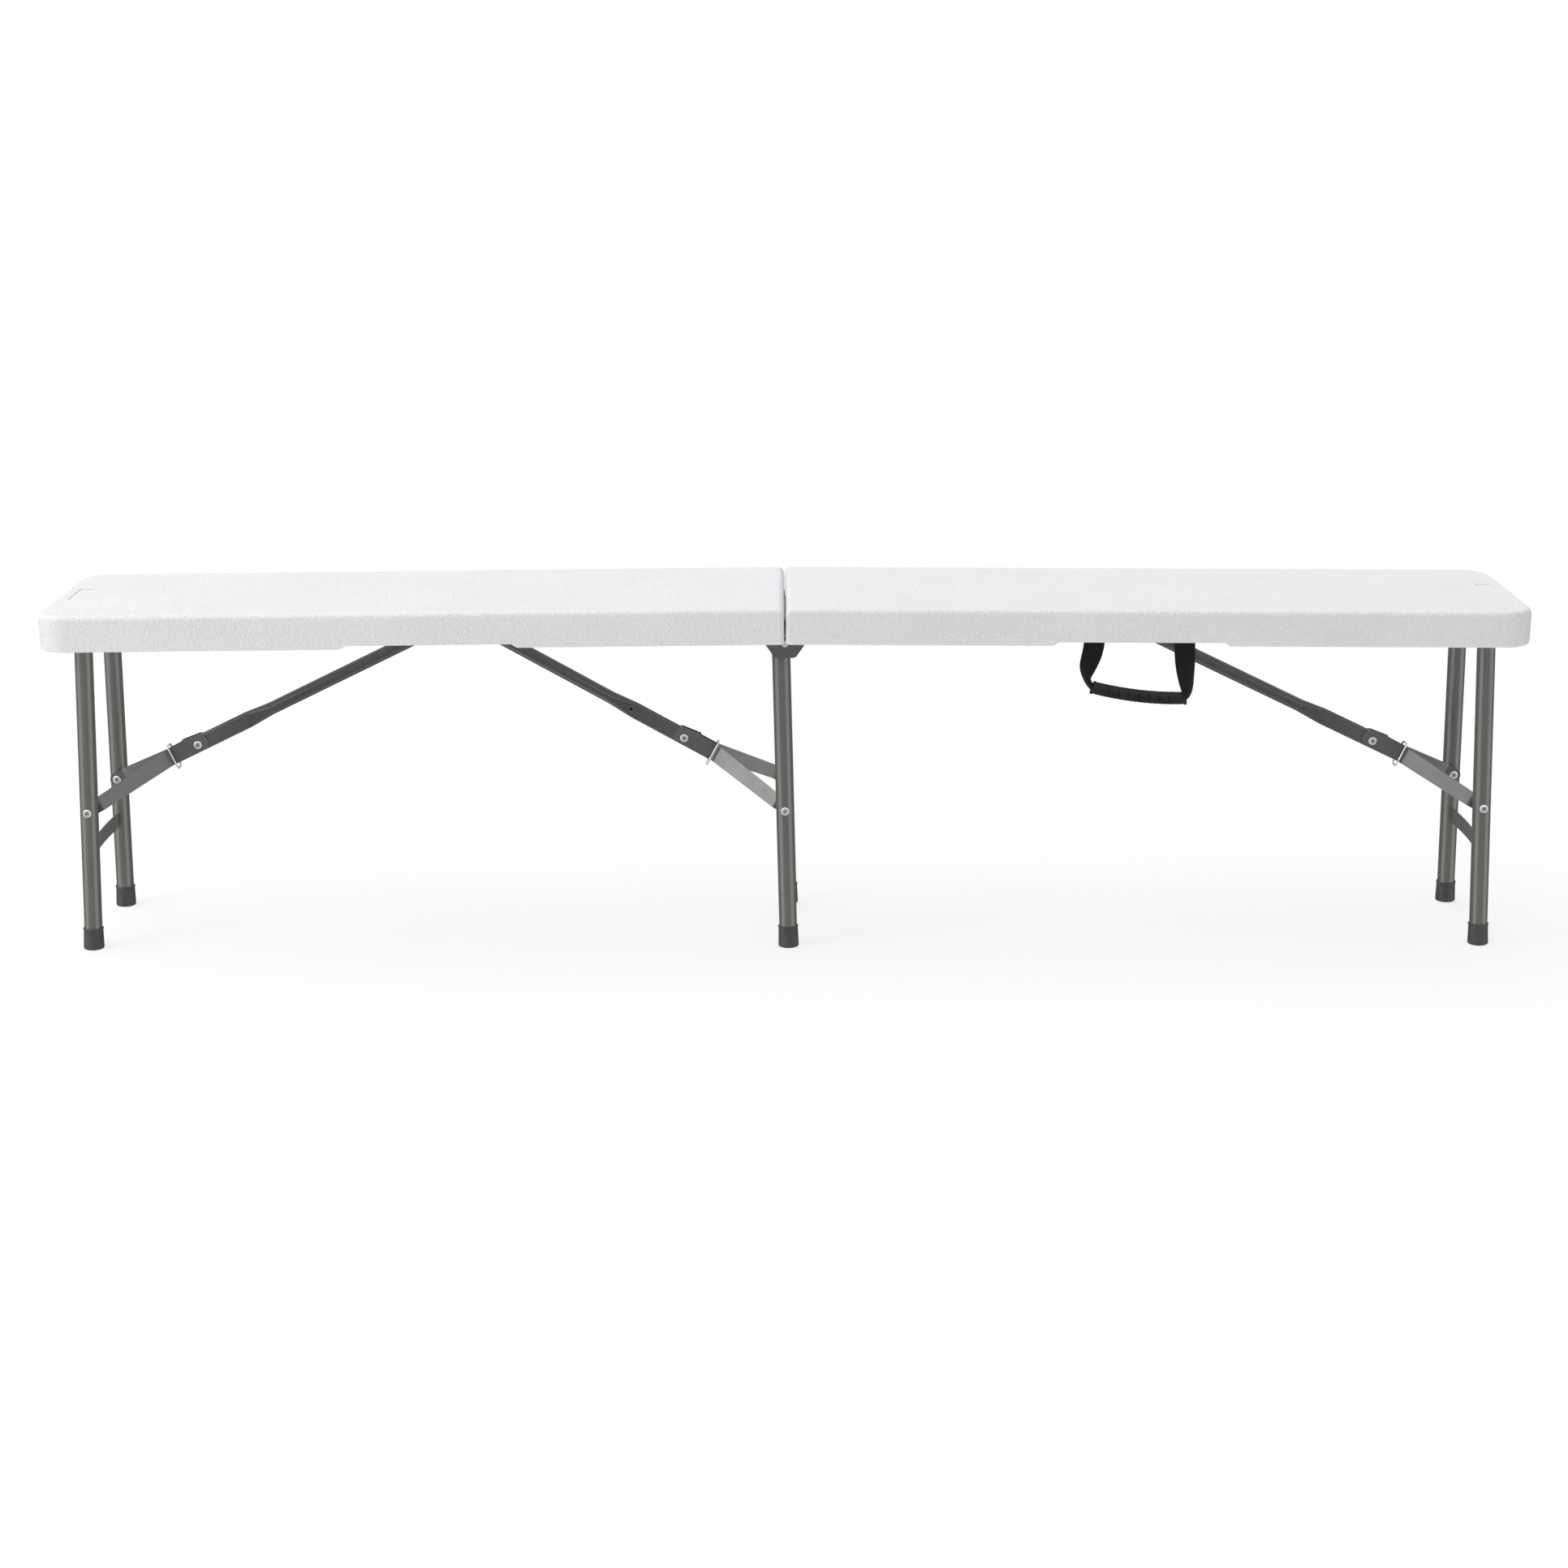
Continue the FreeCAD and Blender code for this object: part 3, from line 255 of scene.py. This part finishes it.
def grip_plastic():
    """Soft black moulding, finely textured, with a painted highlight on the tops of its ribs."""
    material, tree, shader = new_material("grip_plastic", (0.012, 0.012, 0.013), 0.45)
    place = object_place(tree)
    tree.links.new(bump(tree, noise(tree, place, 900.0, 3.0), 0.25, 0.0004), shader.inputs["Normal"])
    handled = noise(tree, place, 70.0, 4.0)
    tone = ramp(tree, handled, [(0.3, (0.009, 0.009, 0.010)), (0.7, (0.018, 0.018, 0.019))])
    # painted highlight: the colour is lighter on the sharp tops of the ribs
    raised = mix_colour(tree, pointiness(tree, 0.51, 0.60), tone, (0.022, 0.022, 0.023))
    tree.links.new(raised, shader.inputs["Base Color"])
    tree.links.new(ramp(tree, handled, [(0.3, grey(0.40)), (0.7, grey(0.56))]), shader.inputs["Roughness"])
    shader.inputs["Specular IOR Level"].default_value = 0.2
    return material


def dress_cad_nodes(materials):
    """Give every CAD node the material of its record slot."""
    slots = {part["node"]: part["material_slot"] for part in frame["record"]["subparts"]}
    for name, node in frame["nodes"].items():
        node.data.materials.clear()
        node.data.materials.append(materials[slots[name]])


# ---- carry handle --------------------------------------------------------------------------------


def on_right_half(x, y, z):
    """From millimetres in the right half's own frame (Z up from its rim) to the model, in metres."""
    return Vector((x * math.cos(CAMBER) + z * math.sin(CAMBER), y,
                   z * math.cos(CAMBER) - x * math.sin(CAMBER))) * MM + Vector((0, 0, RIM_Z))


def spline_at(values, t):
    """Catmull-Rom through evenly spaced tuples, at t from 0 to 1."""
    spans = len(values) - 1
    index = min(int(t * spans), spans - 1)
    u = t * spans - index
    points = [values[max(0, min(spans, index + step))] for step in (-1, 0, 1, 2)]
    result = []
    for a, b, c, d in zip(*points):
        result.append(0.5 * (2 * b + (c - a) * u + (2 * a - 5 * b + 4 * c - d) * u * u
                             + (3 * b - a - 3 * c + d) * u ** 3))
    return result


def mesh_object(name, points, faces, material):
    mesh = bpy.data.meshes.new(name)
    mesh.from_pydata([tuple(point) for point in points], [], faces)
    mesh.validate()
    mesh.polygons.foreach_set("use_smooth", [True] * len(mesh.polygons))
    mesh.materials.append(material)
    piece = bpy.data.objects.new(name, mesh)
    bpy.context.scene.collection.objects.link(piece)
    return piece


def tube_faces(rows, around):
    """Quads of a tube whose rows of points follow one another, closed by one flat face at each end."""
    faces = []
    for row in range(rows - 1):
        for step in range(around):
            turn = (step + 1) % around
            faces.append((row * around + step, row * around + turn,
                          (row + 1) * around + turn, (row + 1) * around + step))
    faces.append(tuple(range(around - 1, -1, -1)))
    faces.append(tuple((rows - 1) * around + step for step in range(around)))
    return faces


WEB_WIDTH = 25.4
WEB_THICK = 1.6
ACROSS = 20
ROWS = 90
# stations of each strap from its screwed end down into the grip:
# left edge x, z, right edge x, z, and y of the two edges, in the right half's frame
LEFT_STRAP = [(365.5, 22.5, 390.9, 22.5, -125.2, -125.2), (365.5, 12.0, 390.9, 12.0, -125.2, -125.2),
              (365.4, 2.0, 390.8, 2.0, -125.1, -125.1), (364.3, -7.0, 389.9, -6.0, -124.6, -125.2),
              (362.6, -17.0, 387.4, -16.0, -124.0, -125.6), (361.7, -26.5, 383.4, -25.5, -123.2, -126.4),
              (362.9, -34.5, 378.9, -34.5, -122.4, -127.2), (366.0, -43.0, 374.8, -42.5, -122.0, -127.6),
              (370.0, -50.5, 376.8, -47.6, -122.4, -127.0), (376.0, -57.2, 381.2, -51.4, -123.0, -126.6),
              (386.0, -60.0, 387.5, -53.8, -123.0, -126.6)]
RIGHT_STRAP = [(476.2, 22.5, 501.6, 22.5, -125.2, -125.2), (476.2, 12.0, 501.6, 12.0, -125.2, -125.2),
               (476.2, 2.0, 501.6, 2.0, -125.1, -125.1), (476.5, -8.0, 502.0, -8.0, -125.3, -124.7),
               (477.4, -18.0, 502.3, -18.0, -125.8, -124.3), (479.0, -29.0, 502.1, -29.0, -126.4, -123.8),
               (481.4, -40.0, 501.8, -41.0, -127.0, -123.2), (484.4, -50.5, 501.2, -52.5, -127.4, -122.8),
               (487.0, -58.0, 499.2, -62.0, -127.2, -122.8), (487.2, -63.5, 494.0, -69.4, -126.8, -123.0),
               (482.0, -64.0, 484.0, -71.5, -126.6, -123.0)]


def strap(name, stations, material):
    """One length of webbing: flat where it is screwed on, bowed forward where it is drawn into the grip."""
    front, back = [], []
    for row in range(ROWS):
        x0, z0, x1, z1, y0, y1 = spline_at(stations, row / (ROWS - 1))
        chord = math.hypot(x1 - x0, z1 - z0, y1 - y0)
        depth = math.sqrt(max(0.0, 3 * chord * (WEB_WIDTH - chord) / 8))
        centre_line = []
        for step in range(ACROSS + 1):
            u = step / ACROSS
            bow = 4 * u * (1 - u) * depth * 0.8
            centre_line.append(Vector((x0 + (x1 - x0) * u, y0 + (y1 - y0) * u - bow, z0 + (z1 - z0) * u)))
        for step, point in enumerate(centre_line):
            ahead = centre_line[min(step + 1, ACROSS)] - centre_line[max(step - 1, 0)]
            normal = Vector((ahead.y, -ahead.x, 0)).normalized()
            selvedge = 0.72 if step in (0, ACROSS) else 1.08 if step in (1, ACROSS - 1) else 1.0
            offset = normal * (WEB_THICK / 2 * selvedge)
            front.append(on_right_half(*(point + offset)))
            back.append(on_right_half(*(point - offset)))
    wide = ACROSS + 1
    points, faces = [], []
    for row in range(ROWS):
        points += front[row * wide:(row + 1) * wide]
        points += back[row * wide:(row + 1) * wide][::-1]
    return mesh_object(name, points, tube_faces(ROWS, 2 * wide), material)


GRIP_LINE = ((377.3, -54.1), (436.0, -64.9), (493.0, -67.2))
GRIP_Y = -124.8
STITCH_Y = -124.35             # face of the webbing where it is screwed down
COLLAR = 0.6                   # raised band at each end of the grip
NOTCH_DEEP = 1.9
GRIP_MOUTH = ((0.42, -6.0), (0.66, -5.6), (0.74, -0.4), (0.80, 0.0), (0.95, 0.0))   # size, push inwards
GRIP_RADII = (7.0, 7.7)        # across, high
NOTCHES = [397.9 + 12.3 * step for step in range(7)]


def smooth_step(value, low, high):
    t = max(0.0, min(1.0, (value - low) / (high - low)))
    return t * t * (3 - 2 * t)


def grip_centre(t):
    """Point and direction of the grip's bowed centre line: a parabola through its three points."""
    (x0, z0), (x1, z1), (x2, z2) = GRIP_LINE
    x = x0 + (x2 - x0) * t
    z = (z0 * (x - x1) * (x - x2) / ((x0 - x1) * (x0 - x2))
         + z1 * (x - x0) * (x - x2) / ((x1 - x0) * (x1 - x2))
         + z2 * (x - x0) * (x - x1) / ((x2 - x0) * (x2 - x1)))
    return x, z


def grip_profile(x, inset, angle):
    """Shrink of the grip's radius: collars at the ends, ribs all round, finger notches in front."""
    shrink = -COLLAR * (1 - smooth_step(inset, 2.2, 3.2))
    shrink += 0.35 * math.exp(-((inset - 4.2) / 0.7) ** 2)
    facing = max(0.0, math.cos(angle - math.pi / 2 - 0.15))
    for notch in NOTCHES:
        across = 1 - smooth_step(abs(x - notch), 1.4, 2.6)
        shrink += NOTCH_DEEP * across * smooth_step(facing, 0.70, 0.88)
        ridge = math.exp(-((abs(x - notch) - 3.6) / 1.1) ** 2)
        shrink -= 0.28 * ridge
    return shrink


def finger_grip(material):
    """Moulded grip closed round the webbing, hollow at its ends where the straps go in."""
    stations, around = 260, 64
    points = []

    def ring(t, scale, push):
        x, z = grip_centre(t)
        ahead_x, ahead_z = grip_centre(min(1.0, t + 0.01))
        back_x, back_z = grip_centre(max(0.0, t - 0.01))
        along = Vector((ahead_x - back_x, 0, ahead_z - back_z)).normalized()
        up = Vector((-along.z, 0, along.x))
        inset = min(x - GRIP_LINE[0][0], GRIP_LINE[2][0] - x)
        end_sign = -1 if t < 0.5 else 1
        flare = (1.0 if t < 0.5 else 0.8) * (1 - smooth_step(inset, 0.0, 7.0)) * end_sign
        for step in range(around):
            angle = 2 * math.pi * step / around
            shrink = grip_profile(x, inset, angle)
            high = (GRIP_RADII[1] - shrink) * math.cos(angle) * scale
            deep = -(GRIP_RADII[0] - shrink) * math.sin(angle) * scale
            shift = along * (push * end_sign - flare * math.cos(angle) * 0.9)
            place = Vector((x, GRIP_Y + deep, z)) + up * high + shift
            points.append(on_right_half(*place))

    for scale, push in GRIP_MOUTH:
        ring(0.0, scale, push)
    for station in range(stations + 1):
        ring(station / stations, 1.0, 0.0)
    for scale, push in reversed(GRIP_MOUTH):
        ring(1.0, scale, push)
    return mesh_object("finger_grip", points, tube_faces(len(points) // around, around), material)


def stitches(name, x, material):
    """A box of lockstitches round the screw, where the end of the webbing is doubled."""
    half_wide, low, high, pitch = 9.5, 5.0, 21.0, 2.6
    corners = [(x - half_wide, low), (x + half_wide, low), (x + half_wide, high), (x - half_wide, high)]
    points, faces = [], []
    for (x0, z0), (x1, z1) in zip(corners, corners[1:] + corners[:1]):
        count = int(math.hypot(x1 - x0, z1 - z0) / pitch)
        for stitch in range(count):
            a = (stitch + 0.15) / count
            b = (stitch + 0.85) / count
            along = Vector((x1 - x0, 0, z1 - z0))
            side = Vector((along.z, 0, -along.x)).normalized()
            start = Vector((x0, STITCH_Y, z0))
            base = len(points)
            profile = ((0.0, 0.12), (0.2, 0.34), (0.5, 0.4), (0.8, 0.34), (1.0, 0.12))
            for share, radius in profile:
                centre = start + along * (a + (b - a) * share)
                for turn in range(8):
                    angle = math.pi * turn / 4
                    lift = Vector((0, radius * math.sin(angle), 0))
                    points.append(on_right_half(*(centre + side * (radius * math.cos(angle)) + lift)))
            faces += [tuple(base + index for index in face) for face in tube_faces(len(profile), 8)]
    return mesh_object(name, points, faces, material)


def carry_handle(materials):
    grip = finger_grip(materials["grip_plastic"])
    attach(grip, "handle")
    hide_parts("handle_grip")
    for name, stations in (("left_strap", LEFT_STRAP), ("right_strap", RIGHT_STRAP)):
        cloth = strap(name, stations, materials["webbing"])
        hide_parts("handle_webbing", "handle_tabs")
        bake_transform(cloth)
        sewn = stitches(name + "_stitches", (stations[0][0] + stations[0][2]) / 2, materials["webbing"])
        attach(sewn, "right_half")


# ---- stage --------------------------------------------------------------------------------------


FLOOR_REACH = 60.0
FLOOR_DROP = 0.0004            # keeps the floor off the undersides of the feet
FLOOR_GLOW = 0.75              # the paper gives off light, so that it stays white and shadows are faint


def stage():
    mesh = bpy.data.meshes.new("studio_floor")
    reach = FLOOR_REACH
    mesh.from_pydata([(-reach, -reach, 0), (reach, -reach, 0), (reach, reach, 0), (-reach, reach, 0)], [],
                     [(0, 1, 2, 3)])
    floor = bpy.data.objects.new("studio_floor", mesh)
    bpy.context.scene.collection.objects.link(floor)
    material, tree, shader = new_material("studio_paper", (0.25, 0.25, 0.25), 1.0)
    shader.inputs["Emission Color"].default_value = (1, 1, 1, 1)
    shader.inputs["Emission Strength"].default_value = FLOOR_GLOW
    shader.inputs["Specular IOR Level"].default_value = 0.0
    mesh.materials.append(material)
    floor.location.z = -FLOOR_DROP
    floor.visible_glossy = False


def sun(name, direction, strength, spread):
    light = bpy.data.lights.new(name, "SUN")
    light.energy = strength
    light.angle = math.radians(spread)
    lamp = bpy.data.objects.new(name, light)
    lamp.rotation_euler = Vector(direction).to_track_quat("-Z", "Y").to_euler()
    bpy.context.scene.collection.objects.link(lamp)


def area_light(name, place, target, size, power):
    light = bpy.data.lights.new(name, "AREA")
    light.shape = "DISK"
    light.size = size
    light.energy = power
    lamp = bpy.data.objects.new(name, light)
    lamp.location = place
    lamp.rotation_euler = (Vector(target) - Vector(place)).to_track_quat("-Z", "Y").to_euler()
    bpy.context.scene.collection.objects.link(lamp)


def soft_boxes(tree):
    """What gloss reflects: a tall lit panel at each side, dim ahead, dark behind, and a bright ceiling."""
    place = tree.nodes.new("ShaderNodeTexCoord")
    parts = tree.nodes.new("ShaderNodeSeparateXYZ")
    tree.links.new(place.outputs["Generated"], parts.inputs["Vector"])

    def maths(operation, first, second=0.0):
        node = add(tree, "ShaderNodeMath", operation=operation)
        for socket, value in zip(node.inputs, (first, second)):
            if isinstance(value, float):
                socket.default_value = value
            else:
                tree.links.new(value, socket)
        return node.outputs["Value"]

    flat = maths("SQRT", maths("ADD", maths("MULTIPLY", parts.outputs["X"], parts.outputs["X"]),
                               maths("MULTIPLY", parts.outputs["Y"], parts.outputs["Y"])))
    forward = maths("DIVIDE", parts.outputs["Y"], maths("MAXIMUM", flat, 0.001))
    share = maths("ADD", maths("MULTIPLY", forward, -0.5), 0.5)
    bands = ramp(tree, share, [(0.0, grey(0.10)), (0.16, grey(0.12)), (0.26, grey(0.12)), (0.42, grey(0.08)),
                               (0.56, grey(0.75)), (0.64, grey(1.0)), (0.80, grey(1.0)), (0.91, grey(0.25)),
                               (1.0, grey(0.28))])
    ceiling = ramp(tree, maths("ADD", maths("MULTIPLY", parts.outputs["Z"], 0.5), 0.5),
                   [(0.56, grey(0)), (0.72, grey(1))])
    return mix_colour(tree, ceiling, bands, (0.85, 0.85, 0.85))


SKY_STRENGTH = 0.35            # what lights matt surfaces
MIRRORED_STRENGTH = 1.7        # what gloss reflects
BACKDROP_STRENGTH = 0.99       # what the camera sees behind the bench


def lighting():
    world = bpy.data.worlds.new("studio")
    bpy.context.scene.world = world
    world.use_nodes = True
    tree = world.node_tree
    background = tree.nodes["Background"]
    background.inputs["Color"].default_value = (1, 1, 1, 1)
    background.inputs["Strength"].default_value = SKY_STRENGTH
    backdrop = add(tree, "ShaderNodeBackground", color=(1, 1, 1, 1), strength=BACKDROP_STRENGTH)
    mirrored = add(tree, "ShaderNodeBackground", strength=MIRRORED_STRENGTH)
    tree.links.new(soft_boxes(tree), mirrored.inputs["Color"])
    seen = tree.nodes.new("ShaderNodeLightPath")
    gloss = tree.nodes.new("ShaderNodeMixShader")
    tree.links.new(seen.outputs["Is Glossy Ray"], gloss.inputs["Fac"])
    tree.links.new(background.outputs["Background"], gloss.inputs[1])
    tree.links.new(mirrored.outputs["Background"], gloss.inputs[2])
    mix = tree.nodes.new("ShaderNodeMixShader")
    tree.links.new(seen.outputs["Is Camera Ray"], mix.inputs["Fac"])
    tree.links.new(gloss.outputs["Shader"], mix.inputs[1])
    tree.links.new(backdrop.outputs["Background"], mix.inputs[2])
    tree.links.new(mix.outputs["Shader"], tree.nodes["World Output"].inputs["Surface"])
    sun("key", (0.32, -0.08, -1.0), 2.04, 75.0)
    area_light("left_panel", (-3.2, -1.6, 1.7), (-0.9, 0, 0.35), 1.6, 30.0)
    bpy.context.scene.view_settings.view_transform = "Standard"


CAMERA_AT = (-0.00174, -3.5062, 1.13688)
CAMERA_DOWN, CAMERA_ROLL = 0.26445, -0.00348   # radians
LENS, SENSOR = 64.92, 36.0                     # millimetres


def camera():
    """Standing at the middle of the bench, a little above it, looking slightly down."""
    data = bpy.data.cameras.new("camera")
    data.sensor_width = SENSOR
    data.lens = LENS
    view = bpy.data.objects.new("camera", data)
    view.matrix_world = (Matrix.Translation(CAMERA_AT) @ Matrix.Rotation(math.pi / 2 - CAMERA_DOWN, 4, "X")
                         @ Matrix.Rotation(CAMERA_ROLL, 4, "Z"))
    bpy.context.scene.collection.objects.link(view)
    bpy.context.scene.camera = view


# ---- assembly -----------------------------------------------------------------------------------

camera()
lighting()
stage()
MATERIALS = {
    "seat_plastic": seat_plastic(),
    "leg_steel": powder_coat("leg_steel", (0.030, 0.029, 0.026), (0.046, 0.044, 0.040)),
    "bracket_steel": powder_coat("bracket_steel", (0.026, 0.025, 0.023), (0.040, 0.038, 0.035)),
    "bright_steel": plated_steel(),
    "foot_rubber": foot_rubber(),
    "webbing": webbing_cloth(),
    "grip_plastic": grip_plastic(),
}
dress_cad_nodes(MATERIALS)
carry_handle(MATERIALS)
